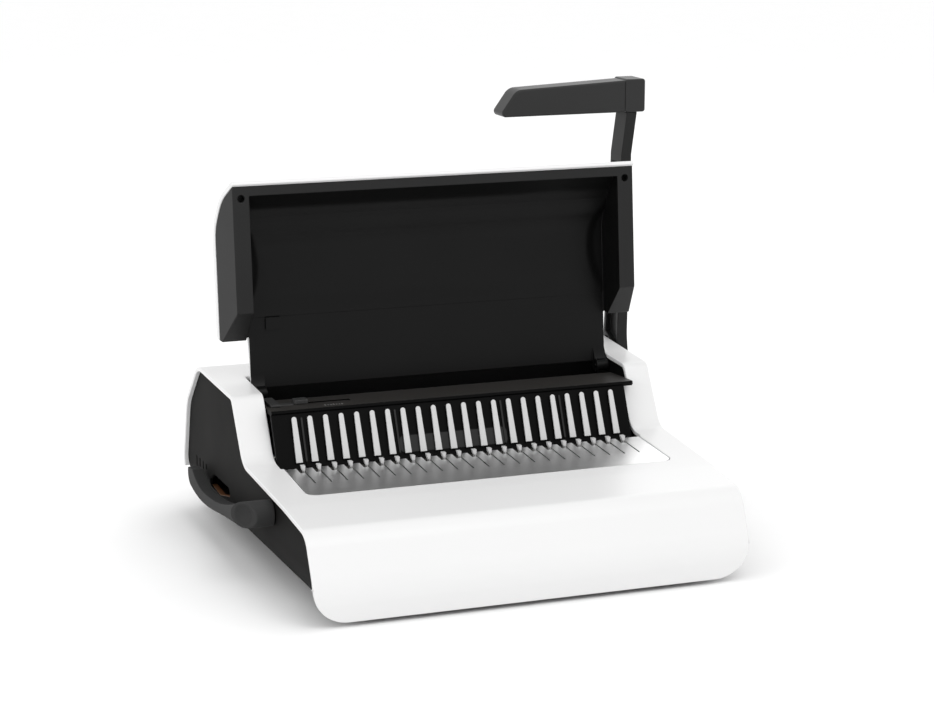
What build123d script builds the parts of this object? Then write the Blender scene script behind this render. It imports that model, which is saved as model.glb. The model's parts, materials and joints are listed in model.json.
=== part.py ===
from build123d import *
from math import cos, pi, radians, sin
import os

os.makedirs("parts", exist_ok=True)

# Manual plastic-comb binding machine for A4 sheets, millimetres.
# X runs along the row of fingers (+X is the handle side), +Y to the rear, +Z up.
# The origin is on the table under the middle of the machine.

# ---------------------------------------------------------------- driving dimensions
finger_pitch = 14.2875  # 9/16 inch, the standard plastic comb spacing
finger_count = 22
punch_count = 21
body_half_width = 198.0  # white cover, at mid depth
plan_taper = 0.025  # the cover widens towards the rear by this much per side
rim = 4.0  # thickness of the white cover's edge
skin = 3.0  # wall thickness of the dark mouldings
bay_edge = {-1: -170.0, 1: 175.0}  # left and right walls of the bay between the towers
bay_lip = 168.6  # the right tower's lip below the ledge
lip_top = 127.0
bay_height = 80.0  # the bay is cut this far above the lip, and bay_drop below it
bay_drop = 48.0
bay_rear = 92.0
bay_floor = 116.5  # underside of the cover's shelf behind the paper slot
deck_rear = -26.0
plate_half = 167.2
plate_front = -99.5
apron_bottom = 4.0
cover_rear_bottom = 37.0
foot_height = 6.0
frame_inside = 165.5  # inner faces of the steel end frames
frame_thick = 2.5

finger_lean = 24.5
finger_length = 40.8
finger_foot = (-15.0, 89.0)

slot_front = 58.0  # the paper slot, front and rear faces
slot_rear = 64.0
die_low = 88.0
die_high = 118.0
punch_height = 104.0
punch_stroke = 10.0
handle_swing = 82.0  # degrees

handle_axis = (112.0, 71.0)  # y, z of the drive shaft
shaft_radius = 7.0
running_gap = 0.05

lid_axis = (66.0, 134.0)  # y, z of the lid hinge
lid_datum = (70.0, 128.0)  # y, z of the point that the lid's own measures start from
lid_lean = 4.9  # the open lid leans back by this angle
lid_half = 198.0
post_edge = {-1: -169.2, 1: 174.2}  # sides of the post that joins the lid to its hinge
lid_recess_half = 174.2
lid_pin_radius = 2.5
lid_pin_length = 25.8

lever_axis = (-78.0, 66.0)  # y, z of the comb-opening lever
lever_shaft_radius = 5.0
pinion_radius = 11.0  # pitch radius
hook_offset = -1.5  # the hooks and slits stand this far left of their fingers

chip_y = (40.0, 127.0)
chip_z = (11.0, 46.0)


def finger_x(index):
    """X of one finger, counted from the left."""
    return (index - (finger_count - 1) / 2) * finger_pitch


def save(part, label):
    """Label a finished piece and write its STEP file."""
    part.label = label
    export_step(part, f"parts/{label}.step")


# ---------------------------------------------------------------- shared side profile
# Corners of the machine's side silhouette, as (y, z), with the radius of each bend.
silhouette = [
    ((-196.5, -10.0), 0),
    ((-202.5, 32.0), 45),
    ((-181.0, 76.5), 22),
    ((-120.0, 82.5), 150),
    ((-4.0, 89.5), 20),
    ((29.0, 142.0), 10),
    ((145.0, 146.0), 30),
    ((187.0, 104.0), 40),
    ((202.0, 46.0), 30),
    ((190.0, -10.0), 0),
]

with BuildSketch(Plane.YZ) as body_profile:
    with BuildLine():
        FilletPolyline(*[p for p, r in silhouette], radius=[r for p, r in silhouette], close=True)
    make_face()

with BuildSketch(Plane.YZ) as lining_profile:
    add(body_profile.sketch_local)
    offset(amount=-rim)

with BuildSketch(Plane.YZ) as panel_profile:
    add(body_profile.sketch_local)
    offset(amount=-rim - 0.2)

# Plan outline of the cover, a shallow trapezium.
plan_reach = 230.0
with BuildSketch(Plane.XY.offset(-20)) as plan_outline:
    with BuildLine():
        Polyline(
            (-body_half_width + plan_taper * plan_reach, -plan_reach),
            (body_half_width - plan_taper * plan_reach, -plan_reach),
            (body_half_width + plan_taper * plan_reach, plan_reach),
            (-body_half_width - plan_taper * plan_reach, plan_reach),
            close=True,
        )
    make_face()

# ---------------------------------------------------------------- white top cover
with BuildPart() as top_cover:
    extrude(body_profile.sketch, amount=215, both=True)
    extrude(lining_profile.sketch, amount=220, both=True, mode=Mode.SUBTRACT)
    # nothing below the apron's edge in front, or the cover's edge behind
    with Locations((0, 0, (apron_bottom - 40) / 2)):
        Box(480, 480, 40 + apron_bottom, mode=Mode.SUBTRACT)
    with Locations((0, 25, (cover_rear_bottom - 40) / 2)):
        Box(480, 430, 40 + cover_rear_bottom, mode=Mode.SUBTRACT)
    # bay for the punch head and the lid, wider above the right tower's lip
    bay_middle = (bay_edge[-1] + bay_edge[1]) / 2
    bay_width = bay_edge[1] - bay_edge[-1]
    bay_depth = bay_rear - deck_rear
    with Locations((bay_middle, deck_rear + bay_depth / 2, lip_top + bay_height / 2)):
        Box(bay_width, bay_depth, bay_height, mode=Mode.SUBTRACT)
    with Locations(((bay_edge[-1] + bay_lip) / 2, deck_rear + bay_depth / 2, lip_top - bay_drop / 2)):
        Box(bay_lip - bay_edge[-1], bay_depth, bay_drop, mode=Mode.SUBTRACT)
    # opening for the work plate
    with BuildSketch(Plane.XY.offset(70)) as plate_window:
        with Locations((0, (plate_front + deck_rear) / 2 + 5)):
            RectangleRounded(2 * plate_half, deck_rear - plate_front + 10, 9)
        with Locations((0, deck_rear + 40)):
            Rectangle(2 * body_half_width, 80, mode=Mode.SUBTRACT)
    extrude(amount=30, mode=Mode.SUBTRACT)
    extrude(plan_outline.sketch, amount=200, mode=Mode.INTERSECT)
    # rounded lower corners of the apron
    apron_half = body_half_width - plan_taper * 200
    apron_radius = 30.0
    for side in (-1, 1):
        with BuildSketch(Plane.XZ.offset(180)) as apron_corner:
            corner_x = side * (apron_half - apron_radius / 2 + 5)
            with Locations((corner_x, apron_bottom + apron_radius / 2 - 5)):
                Rectangle(apron_radius + 10, apron_radius + 10)
            with Locations((side * (apron_half - apron_radius), apron_bottom + apron_radius)):
                Circle(apron_radius, mode=Mode.SUBTRACT)
        extrude(amount=40, mode=Mode.SUBTRACT)
save(top_cover.part, "top_cover")

# ---------------------------------------------------------------- black lining of the bay
bay_wall = 2.5
with BuildPart() as bay_liner:
    for side in (-1, 1):
        with Locations((bay_edge[side] + side * bay_wall / 2, (deck_rear + bay_rear) / 2 + 2, 112)):
            Box(bay_wall, bay_rear - deck_rear + 2, 72)
    with Locations((bay_middle, bay_rear + 0.2 + bay_wall / 2, (bay_floor + 148) / 2)):
        Box(bay_width + 2 * bay_wall, bay_wall, 148 - bay_floor)
    with Locations((bay_middle, (slot_rear + 5 + bay_rear + 2) / 2, bay_floor + 1)):
        Box(bay_width + 1, bay_rear - slot_rear - 3, 2)
    extrude(panel_profile.sketch, amount=190, both=True, mode=Mode.INTERSECT)
    # bosses for the lid's hinge pins
    for side in (-1, 1):
        with Locations(Location((bay_edge[side] + side * 6, lid_axis[0], lid_axis[1]), (0, 90, 0))):
            Cylinder(4.9, 12)
            Cylinder(lid_pin_radius, 14, mode=Mode.SUBTRACT)
save(bay_liner.part, "bay_liner")


# ---------------------------------------------------------------- dark side panels
turn_radius = 40.0  # the panels turn inwards at the bottom
panel_angle = 1.432  # degrees, follows the plan taper
panel_inset = 3.5
panel_rear = 202.0  # the panels run forwards from here
panel_length = 404.0
flange = 8.0  # width of the flat flange under the turn


def panel_plane(side):
    """Section plane at the rear end of a side panel: x outwards, y up, z forwards."""
    tilt = radians(panel_angle)
    half = body_half_width + plan_taper * panel_rear - panel_inset
    return Plane(
        origin=(side * half, panel_rear, 0),
        x_dir=(cos(tilt), -side * sin(tilt), 0),
        z_dir=(-side * sin(tilt), -cos(tilt), 0),
    )


def panel_section(side, thick):
    """Wall, turn and floor flange of a side panel, outer face at x = 0."""
    wall_top = 160.0
    low = foot_height
    inner_turn = turn_radius - thick
    bend = radians(45)
    outer_middle = (-side * turn_radius * (1 - cos(bend)), low + turn_radius * (1 - sin(bend)))
    inner_middle = (
        -side * (turn_radius - inner_turn * cos(bend)),
        low + turn_radius - inner_turn * sin(bend),
    )
    flange_end = -side * (turn_radius + flange)
    with BuildSketch(panel_plane(side)) as section:
        with BuildLine():
            Line((0, wall_top), (0, low + turn_radius))
            ThreePointArc((0, low + turn_radius), outer_middle, (-side * turn_radius, low))
            Polyline(
                (-side * turn_radius, low),
                (flange_end, low),
                (flange_end, low + thick),
                (-side * turn_radius, low + thick),
            )
            ThreePointArc(
                (-side * turn_radius, low + thick),
                inner_middle,
                (-side * thick, low + turn_radius),
            )
            Polyline((-side * thick, low + turn_radius), (-side * thick, wall_top), (0, wall_top))
        make_face()
    return section.sketch


tray_gap = 0.6
hand_hole = [(52, 44), (57, 51.5), (106, 51.5), (119, 44), (123, 37), (91, 35)]  # y, z corners
door_y = (chip_y[0] - 4, chip_y[1] + 4)
door_top = chip_z[1] + 2.9

with BuildPart() as right_side_panel:
    extrude(panel_section(1, skin), amount=panel_length)
    extrude(panel_profile.sketch, amount=240, both=True, mode=Mode.INTERSECT)
    with Locations(Location((190, handle_axis[0], handle_axis[1]), (0, 90, 0))):
        Cylinder(shaft_radius + 1.5, 40, mode=Mode.SUBTRACT)
    # doorway of the chip tray
    with Locations((180, sum(door_y) / 2, door_top / 2)):
        Box(80, door_y[1] - door_y[0] + 2 * tray_gap, door_top + 2 * tray_gap, mode=Mode.SUBTRACT)
save(right_side_panel.part, "right_side_panel")

with BuildPart() as left_side_panel:
    extrude(panel_section(-1, skin), amount=panel_length)
    extrude(panel_profile.sketch, amount=240, both=True, mode=Mode.INTERSECT)
    with Locations(Location((-190, lever_axis[0], lever_axis[1]), (0, 90, 0))):
        Cylinder(lever_shaft_radius + 1.5, 40, mode=Mode.SUBTRACT)
    # hole for the fingers behind the lever's end
    with BuildSketch(Plane.YZ.offset(-215)):
        with BuildLine():
            FilletPolyline(*hand_hole, radius=2.5, close=True)
        make_face()
    extrude(amount=50, mode=Mode.SUBTRACT)
    # four short vents, each taller than the one in front
    vent_top = 54.4
    for index in range(4):
        vent_height = 4.6 + 3.2 * index
        with Locations((-195, 132 + 11 * index, vent_top - vent_height / 2)):
            Box(30, 2.6, vent_height, mode=Mode.SUBTRACT)
save(left_side_panel.part, "left_side_panel")

pocket_mouth = -190.0
pocket_depth = 22.0
with BuildPart() as grip_pocket:
    with BuildSketch(Plane.YZ.offset(pocket_mouth)) as pocket_mouth_outline:
        with BuildLine():
            FilletPolyline(*hand_hole, radius=2.5, close=True)
        make_face()
    with BuildSketch(Plane.YZ.offset(pocket_mouth)):
        add(pocket_mouth_outline.sketch_local)
        offset(amount=2)
    extrude(amount=pocket_depth)
    extrude(pocket_mouth_outline.sketch, amount=pocket_depth - 2, mode=Mode.SUBTRACT)
save(grip_pocket.part, "grip_pocket")

# ---------------------------------------------------------------- base and rear panel
floor_half_rear = body_half_width + plan_taper * 185 - panel_inset - turn_radius - 8 - 0.5
floor_half_front = floor_half_rear - plan_taper * 375
with BuildPart() as base_pan:
    with BuildSketch(Plane.XY.offset(foot_height)):
        with BuildLine():
            Polyline(
                (-floor_half_front, -190),
                (floor_half_front, -190),
                (floor_half_rear, 185),
                (-floor_half_rear, 185),
                close=True,
            )
        make_face()
    extrude(amount=skin)
    # stiffening walls across the front and the rear
    wall_height = 22.0
    for wall_y in (-188, 182):
        with Locations((0, wall_y, foot_height + wall_height / 2)):
            Box(2 * floor_half_front, skin, wall_height)
    with Locations((0, 0, foot_height)):
        with GridLocations(240, 330, 2, 2):
            Hole(2.0)
save(base_pan.part, "base_pan")

with BuildPart() as rear_panel:
    extrude(panel_profile.sketch, amount=180, both=True)
    with BuildSketch(Plane.YZ) as rear_core:
        add(body_profile.sketch_local)
        offset(amount=-rim - 0.2 - skin)
    extrude(amount=185, both=True, mode=Mode.SUBTRACT)
    with BuildSketch(Plane.XZ.offset(-220)):
        with Locations((0, foot_height + skin + 0.2 + 45)):
            RectangleRounded(2 * (body_half_width + 1.3 - panel_inset - skin), 90, 35)
        with Locations((0, cover_rear_bottom + 58)):
            Rectangle(440, 116, mode=Mode.SUBTRACT)
    extrude(amount=30, mode=Mode.INTERSECT)
save(rear_panel.part, "rear_panel")

with BuildPart() as rubber_feet:
    with Locations((0, 0, foot_height / 2)):
        with GridLocations(230, 290, 2, 2):
            Cylinder(9, foot_height)
    fillet(rubber_feet.faces().sort_by(Axis.Z)[0:4].edges(), 1.2)
save(rubber_feet.part, "rubber_feet")

screw_head = 3.6
with BuildPart() as base_screws:
    with Locations((0, 0, foot_height)):
        with GridLocations(240, 330, 2, 2):
            Cylinder(3.6, screw_head, align=(Align.CENTER, Align.CENTER, Align.MAX))
            Cylinder(2.0, 9, align=(Align.CENTER, Align.CENTER, Align.MIN))
save(base_screws.part, "base_screws")

# ---------------------------------------------------------------- work plate
plate_thick = 1.5
plate_slope = 0.05
plate_high = 87.0
slit_width = 1.5
slit_front = -68.5
notch_front = -39.0
plate_plane = Plane(origin=(0, deck_rear, plate_high), x_dir=(1, 0, 0), z_dir=(0, -plate_slope, 1))
plate_depth = deck_rear - plate_front - 0.6
with BuildPart() as work_plate:
    with BuildSketch(plate_plane):
        with Locations((0, -plate_depth / 2 + 5)):
            RectangleRounded(2 * (plate_half - 0.7), plate_depth + 10, 8.4)
        with Locations((0, 20)):
            Rectangle(2 * plate_half + 10, 40, mode=Mode.SUBTRACT)
        for index in range(finger_count):
            slit_x = finger_x(index) + hook_offset
            with Locations((slit_x, (slit_front - deck_rear) / 2)):
                RectangleRounded(slit_width, deck_rear - slit_front, slit_width / 2.1, mode=Mode.SUBTRACT)
            with Locations((slit_x - 1.9, (notch_front - deck_rear) / 2 + 2)):
                Rectangle(6.0, deck_rear - notch_front + 4, mode=Mode.SUBTRACT)
    extrude(amount=-plate_thick)
save(work_plate.part, "work_plate")

# ---------------------------------------------------------------- panel, ledge and fingers
ledge_edge = {-1: -169.4, 1: 173.8}
panel_right = 165.4  # the panel below the ledge ends here, beside the tower's lip
lean = radians(finger_lean)
finger_plane = Plane(
    origin=(0, finger_foot[0], finger_foot[1]),
    x_dir=(1, 0, 0),
    z_dir=(0, -cos(lean), sin(lean)),
)
panel_gap = 3.4  # from the fingers' faces back to the panel
with BuildPart() as ledge_panel:
    with BuildSketch(Plane.YZ) as ledge_section:
        with BuildLine():
            Polyline(
                (-19.0, 80.0),
                (-14.5, 82.0),
                (6.3, 127.6),
                (4.8, 129.2),
                (5.6, 131.5),
                (20.0, 130.8),
                (slot_front - 2.0, 128.6),
                (slot_front - 2.0, die_high + 0.4),
                (slot_front - 5.0, die_high + 0.4),
                (slot_front - 5.0, 125.6),
                (9.8, 127.2),
                (-11.4, 79.0),
                (-19.0, 77.5),
                close=True,
            )
        make_face()
    extrude(amount=ledge_edge[1])
    extrude(ledge_section.sketch, amount=ledge_edge[-1])
    # clearance beside the right tower's lip
    with Locations((panel_right, 0, lip_top + 0.2)):
        Box(20, 120, 100, align=(Align.MIN, Align.CENTER, Align.MAX), mode=Mode.SUBTRACT)
    # channel of the edge guide, open to the left end of the ledge
    with Locations((-128, 31.0, 129.6)):
        Box(76, 8.0, 1.6, mode=Mode.SUBTRACT)
    # ribs on the panel between some of the fingers
    rib_plane = finger_plane.offset(-panel_gap - 1)
    with BuildSketch(rib_plane):
        for gap in (0, 6, 13, 17):
            with Locations((finger_x(gap + 0.5), 18)):
                Rectangle(1.2, 42)
    extrude(amount=2.2)
save(ledge_panel.part, "ledge_panel")

finger_thick = 1.6
foot_half = 2.95
tip_half = 2.15
with BuildPart() as comb_fingers:
    with BuildSketch(finger_plane):
        for index in range(finger_count):
            x = finger_x(index)
            shoulder = finger_length - tip_half
            with BuildLine():
                Line((x - foot_half, 0), (x - tip_half, shoulder))
                ThreePointArc((x - tip_half, shoulder), (x, finger_length), (x + tip_half, shoulder))
                Line((x + tip_half, shoulder), (x + foot_half, 0))
                Line((x + foot_half, 0), (x - foot_half, 0))
            make_face()
    extrude(amount=-finger_thick)
    # a narrow web behind each finger ties it to the panel
    with BuildSketch(finger_plane.offset(-finger_thick)):
        for index in range(finger_count):
            with Locations((finger_x(index), 14)):
                Rectangle(1.4, 20)
    extrude(amount=-(panel_gap - finger_thick - 0.1))
save(comb_fingers.part, "comb_fingers")

# ---------------------------------------------------------------- punch head
die_half = frame_inside


def punch_x(index):
    """X of one punch, counted from the left."""
    return (index - (punch_count - 1) / 2) * finger_pitch


def die_plate(front, rear):
    """One steel die plate with a rectangular hole for every punch."""
    with BuildPart() as plate:
        with Locations((0, (front + rear) / 2, (die_low + die_high) / 2)):
            Box(2 * die_half, rear - front, die_high - die_low)
        with BuildSketch(Plane.XZ.offset(-front + 5)):
            for index in range(punch_count):
                with Locations((punch_x(index), punch_height)):
                    Rectangle(8.1, 3.1)
        extrude(amount=-30, mode=Mode.SUBTRACT)
    return plate.part


guide_x = 156.0
save(die_plate(slot_front - 5, slot_front), "front_die_plate")

with BuildPart() as rear_die_plate:
    add(die_plate(slot_rear, slot_rear + 4))
save(rear_die_plate.part, "rear_die_plate")

with BuildPart() as throat_stop:
    with Locations((0, (slot_front + slot_rear) / 2, (die_low + 98) / 2)):
        Box(2 * die_half - 20, slot_rear - slot_front, 98 - die_low)
save(throat_stop.part, "throat_stop")

bar_front = 84.0
bar_rear = 94.0
follower_rear = 97.0
cam_x = (-110.0, 0.0, 110.0)
with BuildPart() as punch_bar:
    with Locations((0, (bar_front + bar_rear) / 2, punch_height)):
        Box(2 * 162, bar_rear - bar_front, 12)
    for x in cam_x:
        with Locations((x, (bar_rear + follower_rear) / 2, (66 + 110) / 2)):
            Box(14, follower_rear - bar_rear, 44)
    with BuildSketch(Plane.XZ.offset(-bar_front + 5)):
        for side in (-1, 1):
            with Locations((side * guide_x, punch_height)):
                Circle(3.0 + running_gap)
    extrude(amount=-30, mode=Mode.SUBTRACT)
    chamfer(punch_bar.faces().sort_by(Axis.Z)[-1].edges().filter_by(Axis.X), 1.0)
save(punch_bar.part, "punch_bar")

with BuildPart() as punches:
    for index in range(punch_count):
        with Locations((punch_x(index), (slot_rear + 2.2 + bar_front) / 2, punch_height)):
            Box(8.0, bar_front - slot_rear - 2.2, 3.0)
save(punches.part, "punches")

with BuildPart() as punch_guides:
    for side in (-1, 1):
        with Locations(Location((side * guide_x, slot_rear + 4, punch_height), (-90, 0, 0))):
            Cylinder(3.0, 34, align=(Align.CENTER, Align.CENTER, Align.MIN))
save(punch_guides.part, "punch_guides")

with BuildPart() as return_springs:
    for side in (-1, 1):
        with Locations(Location((side * guide_x, slot_rear + 4.1, punch_height), (-90, 0, 0))):
            Cylinder(5.2, bar_front - slot_rear - 4.2, align=(Align.CENTER, Align.CENTER, Align.MIN))
            Cylinder(3.4, 40, align=(Align.CENTER, Align.CENTER, Align.MIN), mode=Mode.SUBTRACT)
save(return_springs.part, "return_springs")


# ---------------------------------------------------------------- steel end frames
def end_frame(side, tray_door):
    """Upright steel plate beside the punch head, x measured from its inner face."""
    start = frame_inside if side > 0 else -frame_inside - frame_thick
    with BuildPart() as frame:
        with BuildSketch(Plane.YZ.offset(start)):
            with BuildLine():
                FilletPolyline(
                    (-96, 13.6),
                    (-96, 76),
                    (-8, 76),
                    (46, 110),
                    (72, 115),
                    (140, 112),
                    (150, 90),
                    (150, 13.6),
                    radius=4,
                    close=True,
                )
            make_face()
            with Locations(handle_axis):
                Circle(11, mode=Mode.SUBTRACT)
            with Locations(lever_axis):
                Circle(8, mode=Mode.SUBTRACT)
            with Locations((-38, 40)):
                RectangleRounded(60, 34, 6, mode=Mode.SUBTRACT)
            if tray_door:
                with Locations((sum(chip_y) / 2, 32)):
                    Rectangle(chip_y[1] - chip_y[0] + 6, 50, mode=Mode.SUBTRACT)
        extrude(amount=frame_thick)
    return frame.part


save(end_frame(-1, False), "left_end_frame")
save(end_frame(1, True), "right_end_frame")

with BuildPart() as tie_bars:
    for y, z in ((-60, 20), (140, 34), (130, 104)):
        with Locations(Location((0, y, z), (0, 90, 0))):
            Cylinder(4, 2 * frame_inside)
save(tie_bars.part, "tie_bars")


def bush_pair(centre, bore, outer):
    """Two flanged bushes in the end frames."""
    with BuildPart() as pair:
        for side in (-1, 1):
            middle = side * (frame_inside + frame_thick / 2)
            with Locations(Location((middle, centre[0], centre[1]), (0, 90, 0))):
                Cylinder(outer, frame_thick)
            flange_x = middle - side * (frame_thick / 2 + 0.75)
            with Locations(Location((flange_x, centre[0], centre[1]), (0, 90, 0))):
                Cylinder(outer + 2, 1.5)
            with Locations(Location((middle, centre[0], centre[1]), (0, 90, 0))):
                Cylinder(bore + running_gap, 12, mode=Mode.SUBTRACT)
    return pair.part


save(bush_pair(handle_axis, shaft_radius, 11), "shaft_bushes")
save(bush_pair(lever_axis, lever_shaft_radius, 8), "lever_bushes")

# ---------------------------------------------------------------- handle and its shaft
arm_inner = 203.2
arm_outer = 213.5
with BuildPart() as drive_shaft:
    with Locations(Location((-169.5, handle_axis[0], handle_axis[1]), (0, 90, 0))):
        Cylinder(shaft_radius, 169.5 + arm_outer, align=(Align.CENTER, Align.CENTER, Align.MIN))
    chamfer(drive_shaft.faces().sort_by(Axis.X)[0].edges(), 0.8)
save(drive_shaft.part, "drive_shaft")

# The cams are eccentric discs: they advance the punch bar by the full stroke over
# the handle's swing, and are half way at the middle of it.
half_swing = radians(handle_swing / 2)
cam_offset = punch_stroke / (2 * sin(half_swing))
cam_radius = handle_axis[0] - follower_rear - 0.4 + punch_stroke / 2
cam_angle = radians(90 - handle_swing / 2)
with BuildPart() as cams:
    centre_y = handle_axis[0] + cam_offset * cos(cam_angle)
    centre_z = handle_axis[1] + cam_offset * sin(cam_angle)
    for x in cam_x:
        with Locations(Location((x, centre_y, centre_z), (0, 90, 0))):
            Cylinder(cam_radius, 8)
        with Locations(Location((x, handle_axis[0], handle_axis[1]), (0, 90, 0))):
            Cylinder(shaft_radius, 20, mode=Mode.SUBTRACT)
save(cams.part, "cams")

arm_points = [
    (93.5, 78),
    (109, 150),
    (106, 234),
    (105, 326),
    (131, 326),
    (134, 250),
    (143, 150),
    (131, 70),
]
pocket_points = [
    (103, 110),
    (113, 152),
    (110.5, 234),
    (109.5, 318),
    (126.5, 318),
    (129.5, 250),
    (138, 150),
    (128, 110),
]
bend_low = 326.0
bend_high = 366.0
bend_shift = 5.2
with BuildPart() as handle_arm:
    with BuildSketch(Plane.YZ.offset(arm_inner)) as arm_face:
        with BuildLine():
            FilletPolyline(*arm_points, radius=[0, 60, 0, 0, 0, 0, 60, 0], close=True)
        make_face()
        with Locations(handle_axis):
            Circle(19)
    extrude(amount=arm_outer - arm_inner)
    with BuildSketch(Plane.XZ.offset(-105)):
        with BuildLine():
            Polyline(
                (arm_inner, bend_low),
                (arm_outer, bend_low),
                (arm_outer + bend_shift, bend_high),
                (arm_inner + bend_shift, bend_high),
                close=True,
            )
        make_face()
    extrude(amount=-26)
    # long lightening pocket on the inner side, crossed by two slanted ribs
    with BuildSketch(Plane.YZ.offset(arm_inner)):
        with BuildLine():
            FilletPolyline(*pocket_points, radius=2.5, close=True)
        make_face()
        for rib_z in (140, 186, 232, 278):
            with BuildLine():
                Polyline(
                    (90, rib_z - 16),
                    (160, rib_z + 16),
                    (160, rib_z + 20),
                    (90, rib_z - 12),
                    close=True,
                )
            make_face(mode=Mode.SUBTRACT)
    extrude(amount=5.5, mode=Mode.SUBTRACT)
    # hub towards the machine, bored for the shaft
    with Locations(Location((arm_inner, handle_axis[0], handle_axis[1]), (0, 90, 0))):
        Cylinder(16, 4.2, align=(Align.CENTER, Align.CENTER, Align.MAX))
    with Locations(Location((200, handle_axis[0], handle_axis[1]), (0, 90, 0))):
        Cylinder(shaft_radius, 60, mode=Mode.SUBTRACT)
save(handle_arm.part, "handle_arm")

block_left = 206.0
block_right = 226.0
grip_low = 366.0
with BuildPart() as handle_end_block:
    with Locations(((block_left + block_right) / 2, 117, (bend_high + 397) / 2)):
        Box(block_right - block_left, 28, 397 - bend_high)
    fillet(handle_end_block.edges().filter_by(Axis.Y), 2.5)
    fillet(handle_end_block.faces().sort_by(Axis.Y)[0].edges(), 1.5)
save(handle_end_block.part, "handle_end_block")

with BuildPart() as handle_grip:
    with BuildSketch(Plane.XZ.offset(-104)):
        with BuildLine():
            FilletPolyline(
                (block_left, grip_low),
                (block_left, 396),
                (97, 391),
                (79, grip_low),
                radius=[0, 0, 12, 4],
                close=True,
            )
        make_face()
    extrude(amount=-25)
    grip_edges = handle_grip.faces().filter_by(Axis.Y).edges()
    fillet(grip_edges.filter_by(lambda e: e.center().X < block_left - 1), 2.0)
save(handle_grip.part, "handle_grip")

with BuildPart() as handle_hub_cap:
    with Locations(Location((arm_outer, handle_axis[0], handle_axis[1]), (0, 90, 0))):
        Cylinder(12, 2.5, align=(Align.CENTER, Align.CENTER, Align.MIN))
    fillet(handle_hub_cap.faces().sort_by(Axis.X)[-1].edges(), 1.2)
save(handle_hub_cap.part, "handle_hub_cap")

# ---------------------------------------------------------------- frame brackets and rail guides
with BuildPart() as frame_brackets:
    for side in (-1, 1):
        for y in (-80, 138):
            with Locations((side * 134, y, 12.0)):
                Box(8, 14, 6)
            with Locations((side * 148, y, 13.8)):
                Box(2 * (frame_inside - 148), 14, 2.4)
            with Locations((side * (frame_inside - 1.2), y, 19)):
                Box(2.4, 14, 12)
save(frame_brackets.part, "frame_brackets")

rail_low = 71.8
with BuildPart() as rail_guides:
    for side in (-1, 1):
        with Locations((side * (frame_inside - 3), -38, rail_low - 1.2)):
            Box(6, 52, 2)
        with Locations((side * (frame_inside - 0.9), -38, rail_low - 6)):
            Box(1.8, 52, 8)
save(rail_guides.part, "rail_guides")

# ---------------------------------------------------------------- comb-opening lever
lever_inner = -202.0
lever_outer = -213.0
boss_start = -193.2
shaft_end = 170.0
boss_end = -217.5
boss_radius = 11.4
boss_cut = 37.0  # the boss's outer end is cut at this angle, facing front and left
with BuildPart() as comb_lever:
    with BuildSketch(Plane.YZ.offset(lever_outer)):
        with BuildLine():
            Spline((-78, 54.7), (-45, 47), (8, 40.5), (64, 33), (105, 31.8), (134, 36))
            ThreePointArc((134, 36), (141, 42), (141.5, 51))
            Line((141.5, 51), (124, 52.5))
            Spline((124, 52.5), (98, 43), (64, 43), (26, 47.5), (-22, 59.5), (-60, 71))
            Line((-60, 71), (-78, 54.7))
        make_face()
    extrude(amount=lever_inner - lever_outer)
    with Locations(Location((boss_start, lever_axis[0], lever_axis[1]), (0, -90, 0))):
        Cylinder(boss_radius, 40, align=(Align.CENTER, Align.CENTER, Align.MIN))
    cut = radians(boss_cut)
    face = Plane(
        origin=(boss_end, lever_axis[0], lever_axis[1]),
        x_dir=(-sin(cut), cos(cut), 0),
        z_dir=(-cos(cut), -sin(cut), 0),
    )
    with BuildSketch(face):
        Circle(60)
    extrude(amount=60, mode=Mode.SUBTRACT)
    # shallow dish in the cut face
    dish_radius = 14.0
    dish_depth = 4.0
    with Locations(face.offset(dish_radius - dish_depth).location):
        Sphere(dish_radius, mode=Mode.SUBTRACT)
    # socket for the shaft's end
    with Locations(Location((boss_start, lever_axis[0], lever_axis[1]), (0, 90, 0))):
        Cylinder(lever_shaft_radius, 16, mode=Mode.SUBTRACT)
save(comb_lever.part, "comb_lever")

with BuildPart() as lever_shaft:
    with Locations(Location((boss_start - 8, lever_axis[0], lever_axis[1]), (0, 90, 0))):
        shaft_length = shaft_end - boss_start + 8
        Cylinder(lever_shaft_radius, shaft_length, align=(Align.CENTER, Align.CENTER, Align.MIN))
save(lever_shaft.part, "lever_shaft")

# Pinions and racks: module 1, with play enough to run freely.
pinion_teeth = 22
tooth_base = 1.7
rack_x = 158.0
rack_low = lever_axis[1] + pinion_radius + 1.15
tooth_angle = 360 / pinion_teeth
with BuildPart() as pinions:
    for side in (-1, 1):
        start = side * rack_x - 2.5
        with BuildSketch(Plane.YZ.offset(start)):
            with Locations(lever_axis):
                Circle(pinion_radius - 1.2)
                with PolarLocations(pinion_radius - 0.25, pinion_teeth, 90):
                    Trapezoid(tooth_base, 2.2, 76, rotation=-90)
                Circle(lever_shaft_radius, mode=Mode.SUBTRACT)
        extrude(amount=5)
save(pinions.part, "pinions")

hook_rail_rear = -22.0
hook_rail_front = -40.0
hook_y = (-34.0, -29.0)
with BuildPart() as hook_rail:
    with Locations((0, (hook_rail_rear + hook_rail_front) / 2, 73.8)):
        Box(2 * 163, hook_rail_rear - hook_rail_front, 4)
    for side in (-1, 1):
        with Locations((side * rack_x, -34, 77)):
            Box(5, 12, 7)
        with Locations((side * rack_x, -59.5, rack_low + 1.1)):
            Box(5, 45, 2.2)
        with BuildSketch(Plane.YZ.offset(side * rack_x - 2.5)):
            for step in range(-1, 8):
                tooth_y = lever_axis[0] + (step + 0.5) * 2 * pi * pinion_radius / pinion_teeth
                with Locations((tooth_y, rack_low - 0.95)):
                    Trapezoid(tooth_base, 1.95, 76, rotation=180)
        extrude(amount=5)
save(hook_rail.part, "hook_rail")

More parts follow.
